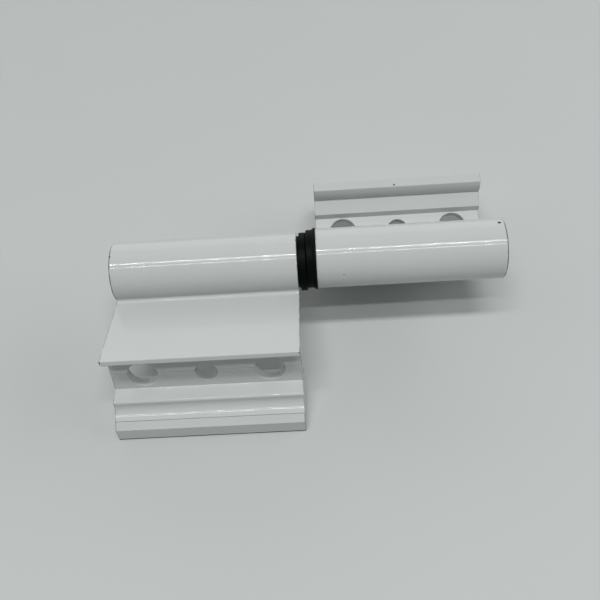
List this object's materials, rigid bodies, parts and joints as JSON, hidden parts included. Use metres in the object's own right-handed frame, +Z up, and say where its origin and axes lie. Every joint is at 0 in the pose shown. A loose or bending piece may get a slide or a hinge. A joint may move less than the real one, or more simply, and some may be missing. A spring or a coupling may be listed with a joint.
{
  "type": "folding door hinge",
  "caption": "Flag hinge of extruded aluminium for folding doors: drilled leaves with overlapping wings turn on a steel pin in flanged nylon bushes.",
  "frame": {"origin": "middle of the footprint, on the ground, with the left leaf standing on its foot and the right leaf's lip touching the ground", "axes": "+X along the pin from the left leaf to the right leaf, the left leaf reaches out along -Y, +Z up"},
  "size_m": [0.19, 0.1474, 0.0607],
  "materials": {
    "white_coat": "gloss white powder coat",
    "black_nylon": "moulded black nylon",
    "pin_steel": "ground steel"
  },
  "bodies": {
    "fixed_side": {"left_leaf": "white_coat", "left_flanged_bush": "black_nylon", "left_end_bush": "black_nylon", "left_end_plug": "black_nylon", "hinge_pin": "pin_steel"},
    "swinging_side": {"right_leaf": "white_coat", "right_eccentric_bush": "black_nylon", "right_end_bush": "black_nylon", "right_end_plug": "black_nylon"}
  },
  "joints": [
    {"name": "leaf_swing", "type": "hinge", "parent": "fixed_side", "child": "swinging_side", "pos_m": [0, -0.00404, 0.0439], "axis": [1, 0, 0], "continuous": true}
  ]
}
